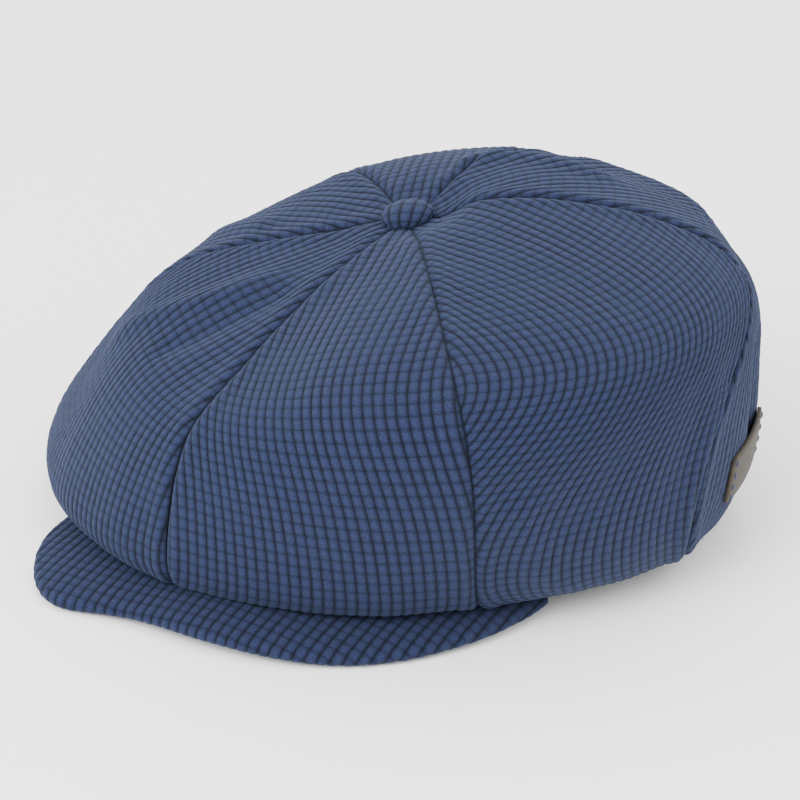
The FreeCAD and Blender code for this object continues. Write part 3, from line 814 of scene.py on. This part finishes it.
def new_material(name):
    """Empty node material with its principled shader."""
    material = bpy.data.materials.new(name)
    material.use_nodes = True
    nodes = material.node_tree.nodes
    nodes.clear()
    out = nodes.new("ShaderNodeOutputMaterial")
    shader = nodes.new("ShaderNodeBsdfPrincipled")
    material.node_tree.links.new(shader.outputs[0], out.inputs[0])
    return material, nodes, material.node_tree.links, shader


def math_node(nodes, links, operation, a, b=None):
    """Maths node whose inputs are sockets or constants."""
    node = nodes.new("ShaderNodeMath")
    node.operation = operation
    for index, value in enumerate((a, b)):
        if value is None:
            continue
        if isinstance(value, (int, float)):
            node.inputs[index].default_value = value
        else:
            links.new(value, node.inputs[index])
    return node.outputs[0]


def waffle_material():
    """Blue waffle knit: grooves painted dark as shade, paler cell tops, small knit stitches."""
    material, nodes, links, shader = new_material("waffle_knit_blue")
    coords = nodes.new("ShaderNodeAttribute")
    coords.attribute_name = "cloth"
    split = nodes.new("ShaderNodeSeparateXYZ")
    links.new(coords.outputs["Vector"], split.inputs[0])
    x, y, seam = split.outputs

    def groove(value, sharp):
        turned = math_node(nodes, links, "MULTIPLY", value, math.pi)
        wave = math_node(nodes, links, "SINE", turned)
        size = math_node(nodes, links, "ABSOLUTE", wave)
        return math_node(nodes, links, "POWER", size, sharp)

    wobble = nodes.new("ShaderNodeTexNoise")
    wobble.inputs["Scale"].default_value = 0.9
    links.new(coords.outputs["Vector"], wobble.inputs["Vector"])
    shift = math_node(nodes, links, "SUBTRACT", wobble.outputs[0], 0.5)
    shift = math_node(nodes, links, "MULTIPLY", shift, 0.16)
    wale = groove(math_node(nodes, links, "ADD", x, shift), 0.45)
    course = groove(math_node(nodes, links, "ADD", y, shift), 0.35)
    course = math_node(nodes, links, "ADD", math_node(nodes, links, "MULTIPLY", course, 0.6), 0.4)
    cell = math_node(nodes, links, "MULTIPLY", wale, course)
    # near a seam the cell value falls towards the groove level: a real dip in the bump, and painted
    # shade in the seam valley in the colour
    seam_dip_and_shade = math_node(nodes, links, "MULTIPLY", seam, 0.7)
    seam_dip_and_shade = math_node(nodes, links, "ADD", seam_dip_and_shade, 0.35)
    seam_dip_and_shade = math_node(nodes, links, "MINIMUM", seam_dip_and_shade, 1.0)
    cell = math_node(nodes, links, "MULTIPLY", cell, seam_dip_and_shade)

    knit_scale = nodes.new("ShaderNodeVectorMath")
    knit_scale.operation = "MULTIPLY"
    knit_scale.inputs[1].default_value = (4.0, 6.0, 0.0)
    links.new(coords.outputs["Vector"], knit_scale.inputs[0])
    knit = nodes.new("ShaderNodeTexNoise")
    knit.inputs["Scale"].default_value = 1.1
    knit.inputs["Detail"].default_value = 3.0
    links.new(knit_scale.outputs[0], knit.inputs["Vector"])

    # painted shade: this ramp darkens the colour to near black in the grooves, where shade falls, and
    # keeps the cell tops paler blue
    groove_shade_ramp = nodes.new("ShaderNodeValToRGB")
    groove_shade_ramp.color_ramp.elements[0].position = 0.30
    groove_shade_ramp.color_ramp.elements[0].color = (0.0014, 0.0024, 0.0068, 1)
    groove_shade_ramp.color_ramp.elements[1].position = 0.95
    groove_shade_ramp.color_ramp.elements[1].color = (0.0130, 0.0185, 0.0500, 1)
    links.new(cell, groove_shade_ramp.inputs[0])
    speckle = nodes.new("ShaderNodeMix")
    speckle.data_type = "RGBA"
    speckle.blend_type = "MULTIPLY"
    speckle.inputs["Factor"].default_value = 0.55
    ramp = nodes.new("ShaderNodeValToRGB")
    ramp.color_ramp.elements[0].position = 0.33
    ramp.color_ramp.elements[0].color = (0.45, 0.47, 0.52, 1)
    ramp.color_ramp.elements[1].position = 0.66
    ramp.color_ramp.elements[1].color = (1.35, 1.33, 1.28, 1)
    links.new(knit.outputs[0], ramp.inputs[0])
    links.new(groove_shade_ramp.outputs[0], speckle.inputs["A"])
    links.new(ramp.outputs[0], speckle.inputs["B"])
    links.new(speckle.outputs["Result"], shader.inputs["Base Color"])

    bump_cell = nodes.new("ShaderNodeBump")
    bump_cell.inputs["Strength"].default_value = 0.35
    bump_cell.inputs["Distance"].default_value = 0.0006
    links.new(cell, bump_cell.inputs["Height"])
    bump_knit = nodes.new("ShaderNodeBump")
    bump_knit.inputs["Strength"].default_value = 0.55
    bump_knit.inputs["Distance"].default_value = 0.0003
    links.new(knit.outputs[0], bump_knit.inputs["Height"])
    links.new(bump_cell.outputs[0], bump_knit.inputs["Normal"])
    links.new(bump_knit.outputs[0], shader.inputs["Normal"])
    shader.inputs["Roughness"].default_value = 0.92
    shader.inputs["Specular IOR Level"].default_value = 0.15
    shader.inputs["Sheen Weight"].default_value = 0.08
    shader.inputs["Sheen Roughness"].default_value = 0.5
    shader.inputs["Sheen Tint"].default_value = (0.45, 0.60, 0.95, 1)
    return material


def plain_material(name, color, roughness, scale, spread, bump, metallic=0.0, sheen=0.0, weave=None):
    """Simple surface with fine colour variation and bump, in object space or cloth coordinates."""
    material, nodes, links, shader = new_material(name)
    noise = nodes.new("ShaderNodeTexNoise")
    noise.inputs["Scale"].default_value = scale
    noise.inputs["Detail"].default_value = 4.0
    place = nodes.new("ShaderNodeTexCoord")
    links.new(place.outputs["Object"], noise.inputs["Vector"])
    ramp = nodes.new("ShaderNodeValToRGB")
    ramp.color_ramp.elements[0].position = 0.3
    ramp.color_ramp.elements[1].position = 0.7
    ramp.color_ramp.elements[0].color = tuple(c * (1 - spread) for c in color) + (1,)
    ramp.color_ramp.elements[1].color = tuple(min(c * (1 + spread), 1.0) for c in color) + (1,)
    links.new(noise.outputs[0], ramp.inputs[0])
    links.new(ramp.outputs[0], shader.inputs["Base Color"])
    height = noise.outputs[0]
    if weave is not None:
        coords = nodes.new("ShaderNodeAttribute")
        coords.attribute_name = "cloth"
        wave = nodes.new("ShaderNodeTexWave")
        wave.wave_type = "BANDS"
        wave.bands_direction = "DIAGONAL"
        wave.inputs["Scale"].default_value = weave
        wave.inputs["Distortion"].default_value = 0.4
        links.new(coords.outputs["Vector"], wave.inputs["Vector"])
        height = wave.outputs["Fac"]
    relief = nodes.new("ShaderNodeBump")
    relief.inputs["Strength"].default_value = 0.5
    relief.inputs["Distance"].default_value = bump
    links.new(height, relief.inputs["Height"])
    links.new(relief.outputs[0], shader.inputs["Normal"])
    shader.inputs["Roughness"].default_value = roughness
    shader.inputs["Metallic"].default_value = metallic
    shader.inputs["Sheen Weight"].default_value = sheen
    return material


def dress():
    """Give every piece the material of its slot."""
    finishes = {
        "cap_cloth": waffle_material(),
        "under_cloth": plain_material("under_twill", (0.030, 0.055, 0.130), 0.9, 900.0, 0.35, 0.0003,
                                      sheen=0.2, weave=0.9),
        "lining_cloth": plain_material("lining_satin", (0.018, 0.028, 0.070), 0.45, 500.0, 0.25, 0.0001,
                                       sheen=0.1, weave=2.2),
        "band_cloth": plain_material("band_twill", (0.014, 0.020, 0.048), 0.85, 700.0, 0.3, 0.0003,
                                     sheen=0.15, weave=1.4),
        "brim_board": plain_material("brim_sheet", (0.60, 0.60, 0.58), 0.5, 60.0, 0.08, 0.0001),
        "button_metal": plain_material("pressed_metal", (0.75, 0.75, 0.76), 0.35, 200.0, 0.08, 0.00005,
                                       metallic=1.0),
        "sewing_thread": plain_material("thread_navy", (0.030, 0.045, 0.105), 0.8, 2500.0, 0.4, 0.0002),
        "label_leather": plain_material("tab_leather", (0.024, 0.017, 0.008), 0.75, 420.0, 0.45, 0.0003),
        "woven_tab": plain_material("tab_weave", (0.62, 0.62, 0.60), 0.85, 1500.0, 0.12, 0.0002),
    }
    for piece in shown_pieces():
        slot = piece.get("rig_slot")
        if slot in finishes:
            piece.data.materials.clear()
            piece.data.materials.append(finishes[slot])


# ------------------------------------------------------------------------------- stage
CAMERA_YAW = math.radians(39.7)
CAMERA_TILT = math.radians(24.9)
CAMERA_DISTANCE = 1300.0
CAMERA_LENS = 150.3
CAMERA_SENSOR = 36.0
AIM_HEIGHT = 55.0
AIM_RIGHT = -3.0
AIM_UP = -13.9
FLOOR_HALF = 6.0
LIGHT_AIM = Vector((0, 0, 0.06))
WORLD_STRENGTH = 2.3


def softbox(name, direction, distance, size, power):
    """Square light that looks at the cap from a direction, distances in metres."""
    data = bpy.data.lights.new(name, "AREA")
    data.shape = "SQUARE"
    data.size = size
    data.energy = power
    obj = bpy.data.objects.new(name, data)
    bpy.context.scene.collection.objects.link(obj)
    spot = LIGHT_AIM + Vector(direction).normalized() * distance
    obj.location = spot
    obj.rotation_euler = (LIGHT_AIM - spot).to_track_quat("-Z", "Y").to_euler()
    return obj


def stage():
    """Floor, lights and camera."""
    mesh = bpy.data.meshes.new("floor")
    corners = [(x * FLOOR_HALF, y * FLOOR_HALF, 0) for x, y in ((-1, -1), (1, -1), (1, 1), (-1, 1))]
    mesh.from_pydata(corners, [], [(0, 1, 2, 3)])
    floor = bpy.data.objects.new("floor", mesh)
    bpy.context.scene.collection.objects.link(floor)
    material, _, _, shader = new_material("studio_white")
    shader.inputs["Base Color"].default_value = (0.98, 0.98, 0.98, 1)
    shader.inputs["Roughness"].default_value = 0.9
    shader.inputs["Specular IOR Level"].default_value = 0.1
    mesh.materials.append(material)

    back = Vector((math.sin(CAMERA_YAW) * math.cos(CAMERA_TILT),
                   -math.cos(CAMERA_YAW) * math.cos(CAMERA_TILT), math.sin(CAMERA_TILT)))
    right = Vector((math.cos(CAMERA_YAW), math.sin(CAMERA_YAW), 0))
    up = back.cross(right)
    aim = Vector((0, 0, AIM_HEIGHT)) + right * AIM_RIGHT + up * AIM_UP + Vector(FRAME_SHIFT)
    camera_data = bpy.data.cameras.new("photo_camera")
    camera_data.lens = CAMERA_LENS
    camera_data.sensor_width = CAMERA_SENSOR
    camera = bpy.data.objects.new("photo_camera", camera_data)
    bpy.context.scene.collection.objects.link(camera)
    place = Matrix((right, up, back)).transposed().to_4x4()
    place.translation = (aim + back * CAMERA_DISTANCE) * MM
    camera.matrix_world = place
    bpy.context.scene.camera = camera

    left = -right
    front = Vector((back.x, back.y, 0)).normalized()
    rise = Vector((0, 0, 1))
    lights = [
        softbox("key_left", left * 0.75 + front + rise, 1.6, 0.9, 34),
        softbox("fill_right", right + front * 0.6 + rise * 0.8, 1.8, 1.2, 9),
        softbox("top_back", front * -0.9 + rise * 1.4, 1.8, 1.2, 12),
    ]
    world = bpy.data.worlds.new("studio_world")
    bpy.context.scene.world = world
    world.use_nodes = True
    background = world.node_tree.nodes["Background"]
    background.inputs[0].default_value = (1.0, 1.0, 1.0, 1)
    background.inputs[1].default_value = WORLD_STRENGTH


# ------------------------------------------------------------------------------- build
for number, panel in enumerate(PANELS):
    crown_panel(number, panel)
    lining_panel(number, panel)
brim_top()
brim_under()
brim_board()
button()
sweatband()
side_label()
for tab_name, tab_sizes in WOVEN_TABS.items():
    woven_tab(tab_name, *tab_sizes)
dress()
stage()
